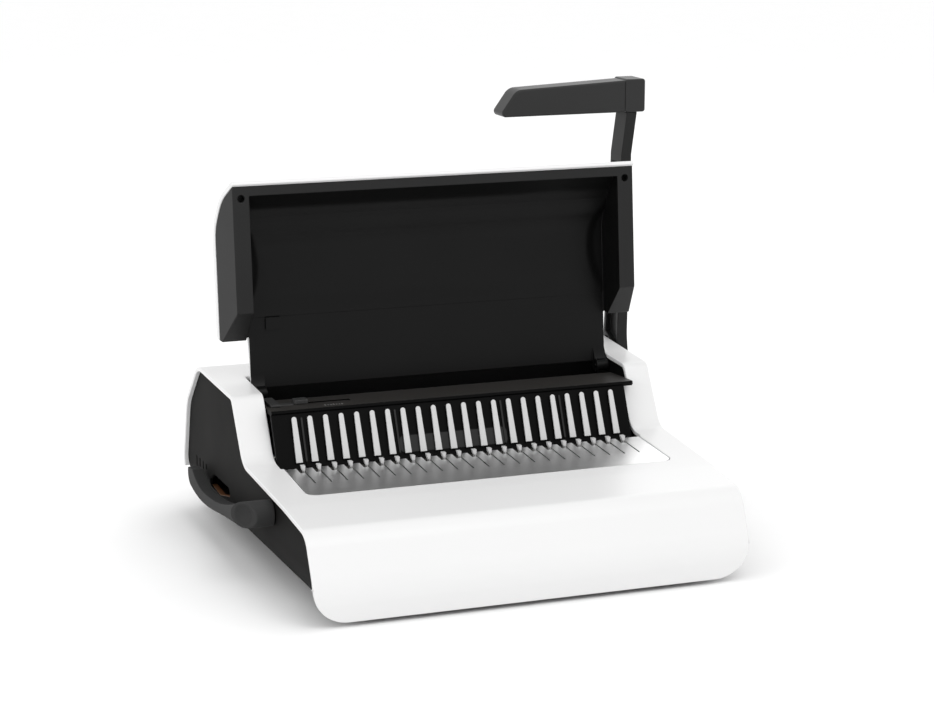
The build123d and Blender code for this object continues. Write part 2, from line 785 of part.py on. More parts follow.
with BuildPart() as comb_hooks:
    for index in range(finger_count):
        x = finger_x(index) + hook_offset
        with Locations((x, sum(hook_y) / 2, (75.8 + 87.9) / 2)):
            Box(0.9, hook_y[1] - hook_y[0], 87.9 - 75.8)
        with BuildSketch(Plane.XZ.offset(-hook_y[0] + 0.5)):
            with BuildLine():
                Polyline(
                    (x - 1.6, 87.0),
                    (x + 0.5, 87.0),
                    (x + 0.9, 91.4),
                    (x - 2.8, 91.4),
                    close=True,
                )
            make_face()
        extrude(amount=-4.5)
save(comb_hooks.part, "comb_hooks")

# ---------------------------------------------------------------- chip tray
with BuildPart() as chip_tray:
    extrude(panel_section(1, skin), amount=panel_length)
    with Locations((180, sum(door_y) / 2, door_top / 2)):
        Box(60, door_y[1] - door_y[0], door_top, mode=Mode.INTERSECT)
    # tray box
    with BuildSketch(Plane.XY.offset(chip_z[0])):
        with Locations((16, sum(chip_y) / 2)):
            RectangleRounded(348, chip_y[1] - chip_y[0], 4)
    extrude(amount=chip_z[1] - chip_z[0])
    with BuildSketch(Plane.XY.offset(chip_z[0] + 2)):
        with Locations((10, sum(chip_y) / 2)):
            RectangleRounded(332, chip_y[1] - chip_y[0] - 4, 3)
    extrude(amount=60, mode=Mode.SUBTRACT)
    # finger grip in the front
    with BuildSketch(Plane.YZ.offset(183)):
        with Locations((sum(chip_y) / 2, 33)):
            RectangleRounded(46, 15, 6)
    extrude(amount=27, mode=Mode.SUBTRACT)
save(chip_tray.part, "chip_tray")

# ---------------------------------------------------------------- edge guide
with BuildPart() as edge_guide:
    with Locations((-148, 31.0, 129.95)):
        Box(34, 7.4, 2.0)
    with Locations((-160.5, 36, 131.9)):
        Box(9, 30, 1.9)
    with Locations((-136, 31.0, 132.7)):
        Box(13, 10, 3.6)
    fillet(edge_guide.edges().filter_by(Axis.Z).filter_by(lambda e: e.center().Z > 132), 1.5)
save(edge_guide.part, "edge_guide")

# ---------------------------------------------------------------- lid
tilt = radians(lid_lean)
# Side plane of the lid: x runs up the open lid from its datum, y towards its front.
lid_side = Plane(origin=(0, lid_datum[0], lid_datum[1]), x_dir=(0, sin(tilt), cos(tilt)), z_dir=(1, 0, 0))
# Front plane of the lid: x to the right, y up the open lid.
lid_front = Plane(origin=(0, lid_datum[0], lid_datum[1]), x_dir=(1, 0, 0), z_dir=(0, -cos(tilt), sin(tilt)))
# Section across the lid: x to the right, y to its back.
lid_section = Plane(origin=(0, lid_datum[0], lid_datum[1]), x_dir=(1, 0, 0), z_dir=(0, sin(tilt), cos(tilt)))
# The hinge axis as seen in the lid's side plane.
axis_shift = (lid_axis[0] - lid_datum[0], lid_axis[1] - lid_datum[1])
hinge_point = (
    axis_shift[0] * sin(tilt) + axis_shift[1] * cos(tilt),
    -axis_shift[0] * cos(tilt) + axis_shift[1] * sin(tilt),
)

shell_back = -5.8
shell_wall = 2.4
seam = 2.6  # the shell meets the liner here, as seen from the side
cheek_front = 38.6
shell_inner = [(195.1, 41.1), (180.2, 17.05), (153.2, seam), (55.3, seam)]
shell_inner_bends = [0, 41, 45, 0]
shell_points = [(57.0, shell_back), (146.0, shell_back), (183.0, 14.0), (198.5, 39.0)] + shell_inner
shell_bends = [5, 45, 45, 2] + shell_inner_bends
liner_points = [(54.2, 8.0), (82.0, cheek_front), (193.54, cheek_front)] + shell_inner[1:]
liner_bends = [1.5, 3, 0] + shell_inner_bends[1:]
post_low = 9.0
shell_low = 58.2
post_high = 64.0
hollow_top = 157.5
shell_hollow = [(58.0, -3.4), (145.3, -3.4), (hollow_top, 2.9), (hollow_top, 8.0), (58.0, 8.0)]
recess_floor = -1.0
recess_top = 184.5
draft_run = 8.0  # the lid's sides slope inwards by this much from back to front


def slope_sides(half):
    """Regions outside the lid's sloping sides, drawn across the lid."""
    with BuildSketch(lid_section) as sides:
        for side in (-1, 1):
            with BuildLine():
                Polyline(
                    (side * half, -4),
                    (side * (half - draft_run), -cheek_front),
                    (side * (half - draft_run), -60),
                    (side * 230, -60),
                    (side * 230, -4),
                    close=True,
                )
            make_face()
    return sides.sketch


with BuildPart() as lid_shell:
    with BuildSketch(lid_side) as shell_side:
        with BuildLine():
            FilletPolyline(*shell_points, radius=shell_bends, close=True)
        make_face()
    extrude(amount=lid_half, both=True)
    # hollow behind the liner
    with BuildSketch(lid_side):
        with BuildLine():
            Polyline(*shell_hollow, close=True)
        make_face()
    extrude(amount=lid_half - 4, both=True, mode=Mode.SUBTRACT)
    extrude(slope_sides(lid_half), amount=260, mode=Mode.SUBTRACT)
    # rear skin of the post between the towers
    post_width = post_edge[1] - post_edge[-1]
    post_middle = (post_edge[-1] + post_edge[1]) / 2
    with BuildSketch(lid_front.offset(shell_back)):
        with Locations((post_middle, (post_low + post_high) / 2)):
            Rectangle(post_width, post_high - post_low)
    extrude(amount=shell_wall)
    # the rim is open where the post and the recess's floor pass through
    with BuildSketch(lid_front.offset(shell_back + shell_wall)):
        with Locations((0, shell_low)):
            Rectangle(2 * lid_recess_half + 3, 12)
    extrude(amount=30, mode=Mode.SUBTRACT)
save(lid_shell.part, "lid_shell")

screw_x = 181.5
screw_up = 182.6
screw_sink = 10.0
with BuildPart() as lid_liner:
    with BuildSketch(lid_side):
        with BuildLine():
            FilletPolyline(*liner_points, radius=liner_bends, close=True)
        make_face()
    extrude(amount=lid_half - 0.8, both=True)
    extrude(slope_sides(lid_half - 0.8), amount=260, mode=Mode.SUBTRACT)
    # floor of the recess, filling the shell's hollow and reaching down beside the post
    with BuildSketch(lid_side):
        with BuildLine():
            Polyline(
                (55.6, shell_hollow[0][1]),
                *shell_hollow[1:3],
                (hollow_top, 5.5),
                (55.6, 5.5),
                close=True,
            )
        make_face()
    extrude(amount=lid_recess_half + 1.4, both=True)
    # recess between the cheeks
    with BuildSketch(lid_side):
        with BuildLine():
            FilletPolyline(
                (-5, recess_floor),
                (140, recess_floor),
                (172, 17),
                (recess_top, 31),
                (recess_top, 60),
                (-5, 60),
                radius=[0, 40, 20, 0, 0, 0],
                close=True,
            )
        make_face()
    extrude(amount=lid_recess_half, both=True, mode=Mode.SUBTRACT)
    # the cheeks are hollow, open to the back
    with BuildSketch(lid_front):
        for side in (-1, 1):
            with Locations((side * (lid_recess_half + 8), 132)):
                Rectangle(9, 76)
    extrude(amount=cheek_front - 3, mode=Mode.SUBTRACT)
    with BuildSketch(lid_front.offset(shell_back + shell_wall)):
        with Locations((post_middle, (post_low + post_high) / 2)):
            Rectangle(post_width, post_high - post_low)
    extrude(amount=recess_floor - shell_back - shell_wall)
    for side in (-1, 1):
        # hinge knuckle and its arm
        with BuildSketch(lid_side.offset(post_edge[side] - side * 6)):
            with BuildLine():
                Polyline(
                    (hinge_point[0] - 5.5, hinge_point[1]),
                    (hinge_point[0] - 2, shell_back + shell_wall),
                    (22, shell_back + shell_wall),
                    (22, recess_floor),
                    (hinge_point[0] + 5.5, hinge_point[1]),
                    close=True,
                )
            make_face()
            with Locations(hinge_point):
                Circle(5.6)
                Circle(lid_pin_radius + running_gap, mode=Mode.SUBTRACT)
        extrude(amount=6, both=True)
    # sunk holes of the two screws at the top of the cheeks
    with BuildSketch(lid_front.offset(cheek_front)):
        for side in (-1, 1):
            with Locations((side * screw_x, screw_up)):
                Circle(3.2)
    extrude(amount=-screw_sink, mode=Mode.SUBTRACT)
save(lid_liner.part, "lid_liner")

with BuildPart() as lid_screws:
    with BuildSketch(lid_front.offset(cheek_front - screw_sink)):
        for side in (-1, 1):
            with Locations((side * screw_x, screw_up)):
                Circle(3.0)
                SlotOverall(4, 0.9, mode=Mode.SUBTRACT)
    extrude(amount=2.2)
save(lid_screws.part, "lid_screws")

with BuildPart() as lid_latch:
    with BuildSketch(lid_front.offset(recess_floor)):
        with Locations((-147, 67)):
            RectangleRounded(14, 11, 1)
    extrude(amount=2)
save(lid_latch.part, "lid_latch")

with BuildPart() as lid_hinge_pins:
    for side in (-1, 1):
        pin_start = (post_edge[side] - side * 13, lid_axis[0], lid_axis[1])
        with Locations(Location(pin_start, (0, side * 90, 0))):
            Cylinder(lid_pin_radius, lid_pin_length, align=(Align.CENTER, Align.CENTER, Align.MIN))
save(lid_hinge_pins.part, "lid_hinge_pins")
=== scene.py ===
import json
import math

import bmesh
import bpy
from mathutils import Euler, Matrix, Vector

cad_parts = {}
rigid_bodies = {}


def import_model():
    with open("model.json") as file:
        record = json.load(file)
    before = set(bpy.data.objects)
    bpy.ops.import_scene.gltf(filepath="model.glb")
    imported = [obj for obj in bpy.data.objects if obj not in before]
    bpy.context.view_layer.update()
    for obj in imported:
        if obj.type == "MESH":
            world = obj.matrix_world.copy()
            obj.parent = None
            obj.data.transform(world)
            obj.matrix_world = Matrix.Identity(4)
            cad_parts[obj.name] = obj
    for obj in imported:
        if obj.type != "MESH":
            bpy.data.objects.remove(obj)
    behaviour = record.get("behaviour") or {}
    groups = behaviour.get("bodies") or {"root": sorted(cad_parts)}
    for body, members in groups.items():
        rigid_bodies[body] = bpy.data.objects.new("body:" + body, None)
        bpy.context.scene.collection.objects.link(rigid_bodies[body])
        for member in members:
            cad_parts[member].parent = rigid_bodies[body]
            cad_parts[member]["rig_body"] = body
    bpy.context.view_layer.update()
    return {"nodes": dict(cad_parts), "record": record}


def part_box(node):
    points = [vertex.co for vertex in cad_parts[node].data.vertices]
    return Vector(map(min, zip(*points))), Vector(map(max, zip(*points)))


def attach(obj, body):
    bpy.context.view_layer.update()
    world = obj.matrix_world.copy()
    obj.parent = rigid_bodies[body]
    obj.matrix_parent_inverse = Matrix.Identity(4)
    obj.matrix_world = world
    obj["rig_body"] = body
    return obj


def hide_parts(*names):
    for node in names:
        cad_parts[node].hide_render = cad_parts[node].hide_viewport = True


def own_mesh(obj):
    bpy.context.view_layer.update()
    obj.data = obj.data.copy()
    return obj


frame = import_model()
nodes = frame["nodes"]

SLOTS = {row["node"]: row["material_slot"] for row in frame["record"]["subparts"]}
MM = 0.001  # Blender works in metres

# ---------------------------------------------------------------- camera, floor and light

# The photograph's viewing angle: from the front left, a little above.
CAMERA_PLACE = (-0.699, -1.948, 0.637)
CAMERA_TILT = math.radians(77.4)  # from straight down
CAMERA_TURN = math.radians(-20.0)  # about Z: it looks a little to the right
CAMERA_LENS = 92.04  # mm, on a sensor of this width
CAMERA_SENSOR = 36.0

SURROUND_STRENGTH = 1.06
LAMP_TARGET = (0.0, 0.0, 0.12)
# Each lamp's place and size in metres, and its power in watts.
LAMPS = {
    "key": ((0.3, -1.7, 2.3), 1.5, 15.0),
    "fill": ((-2.6, -0.8, 0.7), 1.6, 12.0),
    "rim": ((1.6, 2.2, 1.8), 1.4, 8.0),
}
FLOOR_REACH = 15.0  # metres from the middle to each edge


def add_camera():
    """The scene's camera."""
    data = bpy.data.cameras.new("camera")
    data.lens = CAMERA_LENS
    data.sensor_width = CAMERA_SENSOR
    camera = bpy.data.objects.new("camera", data)
    camera.location = CAMERA_PLACE
    camera.rotation_euler = Euler((CAMERA_TILT, 0.0, CAMERA_TURN))
    bpy.context.scene.collection.objects.link(camera)
    bpy.context.scene.camera = camera


def add_lamp(name, place, size, power):
    """A soft square lamp that points at the machine."""
    data = bpy.data.lights.new(name, "AREA")
    data.energy = power
    data.size = size
    lamp = bpy.data.objects.new(name, data)
    lamp.location = place
    direction = Vector(LAMP_TARGET) - Vector(place)
    lamp.rotation_euler = direction.to_track_quat("-Z", "Y").to_euler()
    bpy.context.scene.collection.objects.link(lamp)


def add_studio():
    """A white surround and large soft lamps, as in a product photograph."""
    scene = bpy.context.scene
    scene.view_settings.view_transform = "Standard"
    world = bpy.data.worlds.new("studio")
    scene.world = world
    world.use_nodes = True
    background = world.node_tree.nodes["Background"]
    background.inputs["Color"].default_value = (1.0, 1.0, 1.0, 1.0)
    background.inputs["Strength"].default_value = SURROUND_STRENGTH
    for name, (place, size, power) in LAMPS.items():
        add_lamp(name, place, size, power)


def add_floor():
    """The pale floor under the machine."""
    bm = bmesh.new()
    bmesh.ops.create_grid(bm, x_segments=4, y_segments=4, size=FLOOR_REACH)
    floor = finish_mesh("floor", bm)
    paint(floor, MATERIALS["pale_floor"])


# ---------------------------------------------------------------- material helpers

MATERIALS = {}

# Noise scales, in cycles per metre.
MOTTLE_SCALE = 14.0
GLOSS_SCALE = 20.0
STREAK_SCALE = 900.0

NOISE_LOW, NOISE_HIGH = 0.2, 0.8  # nearly all of a noise factor lies between these
RELIEF_DEPTH = 0.0001  # metres, for a bump strength of 1


def principled(name, roughness, metallic=0.0, specular=0.5):
    """Adds a material with one Principled shader to MATERIALS. Returns its tree and the shader."""
    material = bpy.data.materials.new(name)
    MATERIALS[name] = material
    material.use_nodes = True
    tree = material.node_tree
    shader = tree.nodes["Principled BSDF"]
    shader.inputs["Roughness"].default_value = roughness
    shader.inputs["Metallic"].default_value = metallic
    shader.inputs["Specular IOR Level"].default_value = specular
    return tree, shader


def object_noise(tree, scale, stretch=(1.0, 1.0, 1.0), detail=1.0):
    """Noise in the piece's own coordinates; scale is in cycles per metre."""
    coordinates = tree.nodes.new("ShaderNodeTexCoord")
    mapping = tree.nodes.new("ShaderNodeMapping")
    mapping.inputs["Scale"].default_value = stretch
    noise = tree.nodes.new("ShaderNodeTexNoise")
    noise.inputs["Scale"].default_value = scale
    noise.inputs["Detail"].default_value = detail
    tree.links.new(coordinates.outputs["Object"], mapping.inputs["Vector"])
    tree.links.new(mapping.outputs["Vector"], noise.inputs["Vector"])
    return noise.outputs["Fac"]


def spread(tree, factor, low, high):
    """Stretches a noise factor so that its middle covers the range from low to high."""
    range_node = tree.nodes.new("ShaderNodeMapRange")
    range_node.clamp = False
    range_node.inputs["From Min"].default_value = NOISE_LOW
    range_node.inputs["From Max"].default_value = NOISE_HIGH
    range_node.inputs["To Min"].default_value = low
    range_node.inputs["To Max"].default_value = high
    tree.links.new(factor, range_node.inputs["Value"])
    return range_node.outputs["Result"]


def blend_colours(tree, factor, first, second):
    """A colour that runs from first to second with the factor."""
    mix = tree.nodes.new("ShaderNodeMix")
    mix.data_type = "RGBA"
    mix.inputs["A"].default_value = (*first, 1.0)
    mix.inputs["B"].default_value = (*second, 1.0)
    tree.links.new(spread(tree, factor, 0.0, 1.0), mix.inputs["Factor"])
    return mix.outputs["Result"]


def add_bump(tree, shader, height, strength):
    """Fine relief from a height."""
    bump = tree.nodes.new("ShaderNodeBump")
    bump.inputs["Strength"].default_value = strength
    bump.inputs["Distance"].default_value = RELIEF_DEPTH
    tree.links.new(height, bump.inputs["Height"])
    tree.links.new(bump.outputs["Normal"], shader.inputs["Normal"])


def moulded_plastic(name, dark, light, roughness, grain=0.0, relief=0.0, specular=0.5, uneven=0.03):
    """Moulded plastic: a slight mottle in its colour, uneven gloss and, with relief, a fine grain."""
    tree, shader = principled(name, roughness, specular=specular)
    mottle = object_noise(tree, MOTTLE_SCALE)
    tree.links.new(blend_colours(tree, mottle, dark, light), shader.inputs["Base Color"])
    gloss = object_noise(tree, GLOSS_SCALE)
    tree.links.new(spread(tree, gloss, roughness - uneven, roughness + uneven), shader.inputs["Roughness"])
    if relief:
        add_bump(tree, shader, object_noise(tree, grain, detail=2.0), relief)


def brushed_metal(name, dark, light, roughness, stretch, relief, uneven=0.06):
    """Brushed or rolled metal: long thin streaks along the direction that stretch leaves coarse."""
    tree, shader = principled(name, roughness, metallic=1.0)
    streaks = object_noise(tree, STREAK_SCALE, stretch, detail=4.0)
    tree.links.new(blend_colours(tree, streaks, dark, light), shader.inputs["Base Color"])
    tree.links.new(spread(tree, streaks, roughness - uneven, roughness + uneven), shader.inputs["Roughness"])
    add_bump(tree, shader, streaks, relief)


def grey(value, warmth=0.0):
    """A near-neutral linear colour."""
    return (value * (1 + warmth), value, value * (1 - warmth))


# ---------------------------------------------------------------- materials

# The cover is glossy and has no grain. A roughness that wanders about 0.28 leaves faint closed lines
# in the renders, so this one stays above it.
moulded_plastic("cover_white", grey(0.722), grey(0.728), 0.30, specular=0.22, uneven=0.012)

# Name, darkest and lightest colour, roughness, the grain's cycles per metre and strength, gloss.
moulded_plastic("charcoal", grey(0.0056, 0.05), grey(0.0068, 0.05), 0.68, 2600.0, 0.25, 0.07)
moulded_plastic("ledge_black", grey(0.0016), grey(0.0022), 0.40, 2200.0, 0.10, 0.05)
# Painted light: a lighter, warmer copy of ledge_black for the ledge's upward faces, as if lit from above.
moulded_plastic("ledge_top_painted_light", grey(0.0280, 0.06), grey(0.0320, 0.06), 0.45, 2200.0, 0.10, 0.15)
moulded_plastic("lid_charcoal", grey(0.0085), grey(0.0100), 0.45, 2200.0, 0.12, 0.22)
# Painted shade: a blacker plastic that stands for the shade inside the lid's recess, on its latch, in the
# grip's pocket and in the bays.
moulded_plastic("recess_black_painted_shade", grey(0.0038), grey(0.0046), 0.36, 2200.0, 0.08, 0.12)
moulded_plastic("handle_charcoal", grey(0.0130), grey(0.0160), 0.42, 2400.0, 0.12, 0.28)
moulded_plastic("arm_charcoal", grey(0.0085), grey(0.0100), 0.50, 2400.0, 0.12, 0.20)
moulded_plastic("lever_grey", grey(0.0320), grey(0.0360), 0.62, 2600.0, 0.15, 0.07)
moulded_plastic("guide_grey", grey(0.0360), grey(0.0400), 0.42, 1800.0, 0.12, 0.28)
# The inlay's own grey, which on the ribs is a painted highlight.
moulded_plastic("inlay_grey_and_rib_highlight", grey(0.0085), grey(0.0105), 0.40, 900.0, 0.05, 0.25)
moulded_plastic("mark_grey", grey(0.50), grey(0.56), 0.50, 900.0, 0.05, 0.30)
moulded_plastic("lip_brown", (0.11, 0.045, 0.016), (0.15, 0.06, 0.022), 0.50, 1200.0, 0.10, 0.30)
moulded_plastic("rubber_black", grey(0.015), grey(0.022), 0.80, 1800.0, 0.40, 0.30)
moulded_plastic("finger_steel", grey(0.52), grey(0.55), 0.42, 900.0, 0.02, 0.50)
moulded_plastic("pale_floor", grey(0.93), grey(0.94), 0.80, 90.0, 0.02, 0.10)

# Name, darkest and lightest colour, roughness, stretch of the streaks, their strength.
brushed_metal("plate_steel", grey(0.78), grey(0.86), 0.36, (0.03, 1.0, 1.0), 0.10)
brushed_metal("frame_steel", grey(0.48), grey(0.56), 0.38, (0.05, 1.0, 1.0), 0.10)
brushed_metal("die_steel", grey(0.34), grey(0.42), 0.34, (0.04, 1.0, 1.0), 0.12)
brushed_metal("bush_brass", (0.60, 0.42, 0.18), (0.70, 0.50, 0.24), 0.30, (1.0, 0.1, 0.1), 0.10)
brushed_metal("screw_steel", grey(0.012), grey(0.020), 0.50, (1.0, 1.0, 0.1), 0.10)

# CAD nodes whose finish differs from that of their slot.
OWN_FINISH = {
    "edge_guide": "guide_grey",
    "handle_arm": "arm_charcoal",
    # Painted shade: the latch, the grip's pocket and the bays' liner take the recess black, which stands for
    # the shade in them.
    "lid_latch": "recess_black_painted_shade",
    "lid_hinge_pins": "screw_steel",
    "grip_pocket": "recess_black_painted_shade",
    "bay_liner": "recess_black_painted_shade",
}


def paint(piece, material):
    """Gives a piece one material."""
    piece.data.materials.clear()
    piece.data.materials.append(material)


# ---------------------------------------------------------------- refined copies of CAD nodes

# Nodes that get rounded edges, and the radius in mm.
SOFTENED = {
    "top_cover": 1.0,
    "left_side_panel": 0.5,
    "right_side_panel": 0.5,
    "rear_panel": 0.5,
    "lid_shell": 0.8,
    "lid_liner": 0.8,
    "comb_fingers": 0.25,
    "handle_arm": 0.8,
    "handle_grip": 0.5,
    "handle_end_block": 0.4,
    "comb_lever": 0.8,
    "edge_guide": 0.5,
}
SHARP_TURN = math.radians(32.0)  # edges that turn by more than this are rounded
ROUND_SEGMENTS = 3
FLAT_TURN = math.radians(0.4)  # facets that turn by less than this are joined
WELD_DISTANCE = 2e-6  # metres
NORMAL_WEIGHT = 60  # over 50, large faces rule the shading at their corners

# The open lid's own directions, and the point at its foot that its measures start from.
LID_LEAN = math.radians(4.9)
LID_DATUM = Vector((0.0, 70.0, 128.0)) * MM
LID_UP = Vector((0.0, math.sin(LID_LEAN), math.cos(LID_LEAN)))
LID_OUT = Vector((0.0, -math.cos(LID_LEAN), math.sin(LID_LEAN)))

RECESS_HALF_WIDTH = 174.6  # mm, between the lid's cheeks
RECESS_RIM = 36.5  # mm out of the lid's datum, where the recess meets the liner's rim
FACES_UP = 0.7  # least vertical part of the normal of an upper face that takes painted light


def finish_mesh(name, bm):
    """Turns a bmesh into a smooth-shaded object whose flat faces stay flat."""
    mesh = bpy.data.meshes.new(name)
    bm.to_mesh(mesh)
    bm.free()
    for polygon in mesh.polygons:
        polygon.use_smooth = True
    piece = bpy.data.objects.new(name, mesh)
    bpy.context.scene.collection.objects.link(piece)
    normals = piece.modifiers.new("weighted_normals", "WEIGHTED_NORMAL")
    normals.keep_sharp = True
    normals.weight = NORMAL_WEIGHT
    return piece


def stand_in(piece, node):
    """Puts a piece in the place of a CAD node, with that node's body, slot and finish."""
    paint(piece, MATERIALS[SLOTS[node]])
    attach(piece, nodes[node]["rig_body"])
    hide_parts(node)
    return piece


def hard_copy(node):
    """A flat-shaded copy of a CAD node that may take several finishes."""
    name = node + "_finish"
    mesh = nodes[node].data.copy()
    mesh.name = name
    for polygon in mesh.polygons:
        polygon.use_smooth = False
    piece = bpy.data.objects.new(name, mesh)
    bpy.context.scene.collection.objects.link(piece)
    return stand_in(piece, node)


def soft_copy(node, radius):
    """A copy of a CAD node with rounded edges."""
    bm = bmesh.new()
    bm.from_mesh(nodes[node].data)
    bmesh.ops.remove_doubles(bm, verts=bm.verts, dist=WELD_DISTANCE)
    bmesh.ops.dissolve_limit(bm, angle_limit=FLAT_TURN, verts=bm.verts, edges=bm.edges)
    sharp = []
    for edge in bm.edges:
        if len(edge.link_faces) == 2 and edge.calc_face_angle(0.0) > SHARP_TURN:
            sharp.append(edge)
    bmesh.ops.bevel(
        bm,
        geom=sharp,
        offset=radius,
        segments=ROUND_SEGMENTS,
        profile=0.5,
        affect="EDGES",
        clamp_overlap=False,
        miter_outer="ARC",
    )
    return stand_in(finish_mesh(node + "_finish", bm), node)


def paint_ledge_light(piece):
    """Paints light on the ledge's upward faces: they take a greyer material than the panel below them, as if
    lit from above.
    """
    piece.data.materials.append(MATERIALS["ledge_top_painted_light"])
    for polygon in piece.data.polygons:
        if polygon.normal.z > FACES_UP:
            polygon.material_index = 1


def paint_recess_shade(piece):
    """Paints shade inside the lid's recess: its faces take a blacker material than the rest of the liner."""
    piece.data.materials.append(MATERIALS["recess_black_painted_shade"])
    for polygon in piece.data.polygons:
        out = (polygon.center - LID_DATUM).dot(LID_OUT)
        if abs(polygon.center.x) < RECESS_HALF_WIDTH * MM and out < RECESS_RIM * MM:
            polygon.material_index = 1


# ---------------------------------------------------------------- mesh helpers

CORNER_STEPS = 5  # points around a slab's round corner


def extra_piece(name, bm, body, slot, finish=None):
    """Finishes a piece that the frame doesn't hold and sets it on its body."""
    bmesh.ops.recalc_face_normals(bm, faces=bm.faces)
    piece = finish_mesh(name, bm)
    paint(piece, MATERIALS[finish or slot])
    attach(piece, body)
    return piece


def bridge_rings(bm, first, second):
    """Joins two closed rings of vertices with faces."""
    for index in range(len(first)):
        after = (index + 1) % len(first)
        bm.faces.new((first[index], first[after], second[after], second[index]))


def add_prism(bm, first_outline, second_outline):
    """Adds a closed solid between two outlines that have the same number of points."""
    first = [bm.verts.new(point) for point in first_outline]
    second = [bm.verts.new(point) for point in second_outline]
    bm.faces.new(first)
    bm.faces.new(second)
    bridge_rings(bm, first, second)


def add_slab(bm, corner, first, second, rise, bend=0.0):
    """Adds a closed slab: a rectangle from corner along two edges, raised; bend rounds its corners."""
    corner, first, second, rise = (Vector(value) for value in (corner, first, second, rise))
    middle = corner + (first + second) / 2
    along, across = first.normalized(), second.normalized()
    inner_long, inner_wide = first.length / 2 - bend, second.length / 2 - bend
    steps = CORNER_STEPS if bend else 1
    outline = []
    for quarter, (side_long, side_wide) in enumerate([(1, 1), (-1, 1), (-1, -1), (1, -1)]):
        centre = middle + along * side_long * inner_long + across * side_wide * inner_wide
        for step in range(steps):
            angle = math.radians(90) * (quarter + step / max(steps - 1, 1))
            outline.append(centre + (along * math.cos(angle) + across * math.sin(angle)) * bend)
    add_prism(bm, outline, [point + rise for point in outline])


# ---------------------------------------------------------------- the lid's recess

# The recess's floor, in mm: straight up the lid, then a bend, then straight out to the top.
BEND_START = 129.5
BEND_RADIUS = 40.0
BEND_ANGLE = math.radians(29.36)
FLOOR_OUT = -1.0

# The raised middle of the floor, in mm. Low and high are where it starts and ends up the lid.
RELIEF_LOW, RELIEF_HIGH = 72.5, 166.0
RELIEF_HALF_WIDTH = 173.9
RELIEF_RISE = 2.8
RELIEF_FOOT = 0.06  # its least height over the floor
RELIEF_BURIED = 0.5  # how far its underside lies below the floor
RELIEF_RAMPS = 26.0, 16.0  # length of the slopes at its low and high end
RELIEF_COLUMNS, RELIEF_ROWS = 174, 60

# The hollow beside each cheek, in mm: its greatest width, the width of its slope, and how full its
# outline is (less than 1 is fuller than a half wave).
HOLLOW_WIDTH = 17.0
HOLLOW_SLOPE = 9.0
HOLLOW_FULLNESS = 0.8
HOLLOW_LEAST = 0.5


def recess_point(across, run, height):
    """A point at a height over the recess's floor, after a run up it; all in mm."""
    angle = min(max(run - BEND_START, 0.0) / BEND_RADIUS, BEND_ANGLE)
    before = min(run, BEND_START)
    beyond = max(run - BEND_START - BEND_RADIUS * BEND_ANGLE, 0.0)
    up = before + BEND_RADIUS * math.sin(angle) + beyond * math.cos(angle)
    out = FLOOR_OUT + BEND_RADIUS * (1 - math.cos(angle)) + beyond * math.sin(angle)
    up -= height * math.sin(angle)
    out += height * math.cos(angle)
    return LID_DATUM + MM * (Vector((across, 0.0, 0.0)) + LID_UP * up + LID_OUT * out)


def smooth_step(value):
    """Rises smoothly from 0 to 1 as value goes from 0 to 1."""
    value = min(max(value, 0.0), 1.0)
    return value * value * (3 - 2 * value)


def relief_height(across, run):
    """The raised middle's height over the floor, in mm."""
    low_ramp, high_ramp = RELIEF_RAMPS
    ends = smooth_step((run - RELIEF_LOW) / low_ramp) * smooth_step((RELIEF_HIGH - run) / high_ramp)
    wave = math.sin(math.pi * (run - RELIEF_LOW) / (RELIEF_HIGH - RELIEF_LOW))
    hollow = HOLLOW_WIDTH * max(wave, 0.0) ** HOLLOW_FULLNESS
    level = 1.0
    if hollow > HOLLOW_LEAST:
        from_wall = RELIEF_HALF_WIDTH - abs(across)
        level = smooth_step((from_wall - hollow + HOLLOW_SLOPE) / HOLLOW_SLOPE)
    return RELIEF_FOOT + RELIEF_RISE * ends * level


def add_recess_relief():
    """The raised middle of the lid's recess, which leaves a long hollow beside each cheek."""
    bm = bmesh.new()
    upper, lower = {}, {}
    for row in range(RELIEF_ROWS + 1):
        run = RELIEF_LOW + (RELIEF_HIGH - RELIEF_LOW) * row / RELIEF_ROWS
        for column in range(RELIEF_COLUMNS + 1):
            across = -RELIEF_HALF_WIDTH + 2 * RELIEF_HALF_WIDTH * column / RELIEF_COLUMNS
            upper[row, column] = bm.verts.new(recess_point(across, run, relief_height(across, run)))
            lower[row, column] = bm.verts.new(recess_point(across, run, -RELIEF_BURIED))
    for row in range(RELIEF_ROWS):
        for column in range(RELIEF_COLUMNS):
            corners = [(row, column), (row, column + 1), (row + 1, column + 1), (row + 1, column)]
            bm.faces.new([upper[corner] for corner in corners])
            bm.faces.new([lower[corner] for corner in reversed(corners)])
    border = [(0, column) for column in range(RELIEF_COLUMNS)]
    border += [(row, RELIEF_COLUMNS) for row in range(RELIEF_ROWS)]
    border += [(RELIEF_ROWS, column) for column in range(RELIEF_COLUMNS, 0, -1)]
    border += [(row, 0) for row in range(RELIEF_ROWS, 0, -1)]
    bridge_rings(bm, [lower[place] for place in border], [upper[place] for place in border])
    # Its black is painted shade, as in the rest of the recess.
    extra_piece("lid_recess_panel", bm, "lid", "lid_charcoal", "recess_black_painted_shade")


# ---------------------------------------------------------------- details on the finger panel

# The panel behind the fingers leans back. Measures start from the line of the fingers' feet.
FINGER_LEAN = math.radians(24.5)
FINGER_UP = Vector((0.0, math.sin(FINGER_LEAN), math.cos(FINGER_LEAN)))
FINGER_OUT = Vector((0.0, -math.cos(FINGER_LEAN), math.sin(FINGER_LEAN)))
FINGER_FOOT = Vector((0.0, -15.0, 89.0)) * MM
FINGER_PITCH = 14.2875 * MM
FINGER_COUNT = 22
FOOT_GAP = 1.0 * MM  # from the foot line to the inlay and the ribs

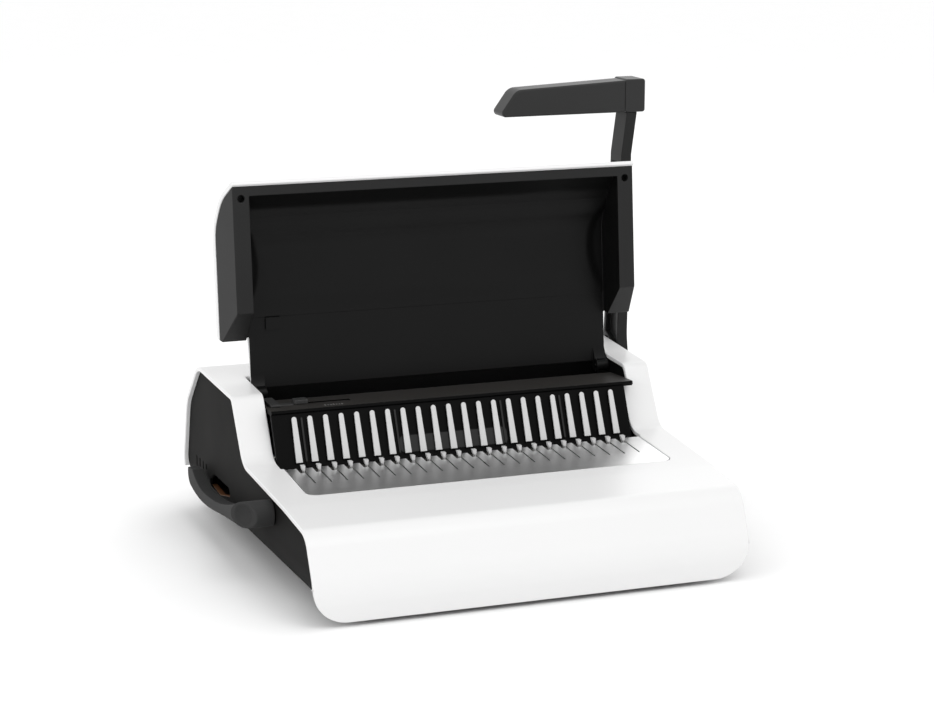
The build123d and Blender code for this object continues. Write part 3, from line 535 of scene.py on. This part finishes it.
INLAY_LEFT = -56.0 * MM
INLAY_WIDTH, INLAY_HEIGHT, INLAY_THICKNESS = 101.0 * MM, 15.0 * MM, 0.5 * MM
INLAY_BEHIND = 3.3 * MM  # its back face, behind the foot line
INLAY_CORNER = 4.0 * MM

RIB_GAPS = (0, 6, 13, 17)  # the gaps between fingers, from the left, that have a rib
RIB_WIDTH, RIB_HEIGHT, RIB_THICKNESS = 1.6 * MM, 39.0 * MM, 0.4 * MM
RIB_BEHIND = 2.3 * MM
RIB_CORNER = 0.6 * MM

TICK_COUNT = 7
TICK_PITCH = 2.6 * MM
TICK_START = Vector((-118.0, 12.5, 131.32)) * MM
TICK_WIDTH, TICK_THICKNESS = 0.5 * MM, 0.12 * MM
TICK_SHORT, TICK_LONG = 2.4 * MM, 4.0 * MM
TICKS_PER_LONG = 3
TICK_DROP = 0.02 * MM  # each tick stands this much lower than the one before
LEDGE_SLOPE = 0.05  # the fall of the ledge towards the rear, mm per mm


def add_panel_slab(bm, left, width, height, thickness, behind, bend):
    """Adds a slab that lies on the finger panel, up from the foot line."""
    corner = FINGER_FOOT + Vector((left, 0.0, 0.0)) + FINGER_UP * FOOT_GAP - FINGER_OUT * behind
    add_slab(bm, corner, (width, 0.0, 0.0), FINGER_UP * height, FINGER_OUT * thickness, bend)


def add_panel_inlay():
    """A smooth oblong inlay on the finger panel."""
    bm = bmesh.new()
    add_panel_slab(bm, INLAY_LEFT, INLAY_WIDTH, INLAY_HEIGHT, INLAY_THICKNESS, INLAY_BEHIND, INLAY_CORNER)
    extra_piece("panel_inlay", bm, "machine", "ledge_black", "inlay_grey_and_rib_highlight")


def add_panel_ribs():
    """Low ribs on the finger panel, in the middle of some gaps between fingers, painted lighter than the
    panel as a highlight.
    """
    bm = bmesh.new()
    for gap in RIB_GAPS:
        middle = (gap + 0.5 - (FINGER_COUNT - 1) / 2) * FINGER_PITCH
        left = middle - RIB_WIDTH / 2
        add_panel_slab(bm, left, RIB_WIDTH, RIB_HEIGHT, RIB_THICKNESS, RIB_BEHIND, RIB_CORNER)
    # Painted highlight: the ribs take a lighter grey than the panel they are moulded on.
    extra_piece("panel_ribs", bm, "machine", "ledge_black", "inlay_grey_and_rib_highlight")


def add_guide_scale():
    """Plain tick marks on the ledge beside the edge guide."""
    bm = bmesh.new()
    for index in range(TICK_COUNT):
        length = TICK_SHORT if index % TICKS_PER_LONG else TICK_LONG
        corner = TICK_START + Vector((TICK_PITCH * index, 0.0, -TICK_DROP * index))
        rearwards = (0.0, length, -LEDGE_SLOPE * length)
        add_slab(bm, corner, (TICK_WIDTH, 0.0, 0.0), rearwards, (0.0, 0.0, TICK_THICKNESS))
    extra_piece("guide_scale", bm, "machine", "ledge_black", "mark_grey")


# ---------------------------------------------------------------- return springs

WIRE_RADIUS = 0.5 * MM
WIRE_CORNERS = 8
COIL_TURNS = 5
STEPS_PER_TURN = 20


def add_coil(bm, centre_x, centre_z, start_y, end_y, radius):
    """Adds a round wire wound about a line along Y."""
    rings = []
    steps = COIL_TURNS * STEPS_PER_TURN
    for step in range(steps + 1):
        turn = 2 * math.pi * step / STEPS_PER_TURN
        spoke = Vector((math.cos(turn), 0.0, math.sin(turn)))
        middle = Vector((centre_x, start_y + (end_y - start_y) * step / steps, centre_z)) + spoke * radius
        ring = []
        for corner in range(WIRE_CORNERS):
            angle = 2 * math.pi * corner / WIRE_CORNERS
            offset = spoke * math.cos(angle) + Vector((0.0, math.sin(angle), 0.0))
            ring.append(bm.verts.new(middle + offset * WIRE_RADIUS))
        rings.append(ring)
    for first, second in zip(rings, rings[1:]):
        bridge_rings(bm, first, second)
    bm.faces.new(rings[0])
    bm.faces.new(rings[-1])


def add_spring_coils():
    """Two compression springs between the rear die plate and the punch bar."""
    low, high = (Vector(corner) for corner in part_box("return_springs"))
    outer = (high.z - low.z) / 2
    bm = bmesh.new()
    for centre_x in (low.x + outer, high.x - outer):
        add_coil(bm, centre_x, low.z + outer, low.y + WIRE_RADIUS, high.y - WIRE_RADIUS, outer - WIRE_RADIUS)
    piece = extra_piece("spring_coils", bm, nodes["return_springs"]["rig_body"], "frame_steel")
    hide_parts("return_springs")
    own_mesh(piece)


# ---------------------------------------------------------------- the hand hole's lip

LIP_LINE = [(54.5, 43.3), (91.0, 35.3), (120.5, 37.2)]  # Y and Z of the hole's lower edge, mm
LIP_FROM, LIP_TO = 0.15, 0.9  # height above that edge, mm
LIP_LEFT, LIP_RIGHT = -195.2, -190.5  # mm


def add_hand_hole_lip():
    """The brown lower lip inside the hand hole of the left side panel."""
    outline = [(y, z + LIP_FROM) for y, z in LIP_LINE]
    outline += [(y, z + LIP_TO) for y, z in reversed(LIP_LINE)]
    left = [Vector((LIP_LEFT, y, z)) * MM for y, z in outline]
    right = [Vector((LIP_RIGHT, y, z)) * MM for y, z in outline]
    bm = bmesh.new()
    add_prism(bm, left, right)
    extra_piece("hand_hole_lip", bm, "machine", "charcoal", "lip_brown")


# ---------------------------------------------------------------- the scene

add_camera()
add_studio()
add_floor()

for node, piece in nodes.items():
    paint(piece, MATERIALS[SLOTS[node]])

shown = dict(nodes)
for node, radius in SOFTENED.items():
    shown[node] = soft_copy(node, radius * MM)
shown["ledge_panel"] = hard_copy("ledge_panel")
for node, finish in OWN_FINISH.items():
    paint(shown[node], MATERIALS[finish])
# Painted shade inside the lid's recess.
paint_recess_shade(shown["lid_liner"])
# Painted light on the ledge's upward faces.
paint_ledge_light(shown["ledge_panel"])

add_recess_relief()
add_panel_inlay()
add_panel_ribs()
add_guide_scale()
add_spring_coils()
add_hand_hole_lip()
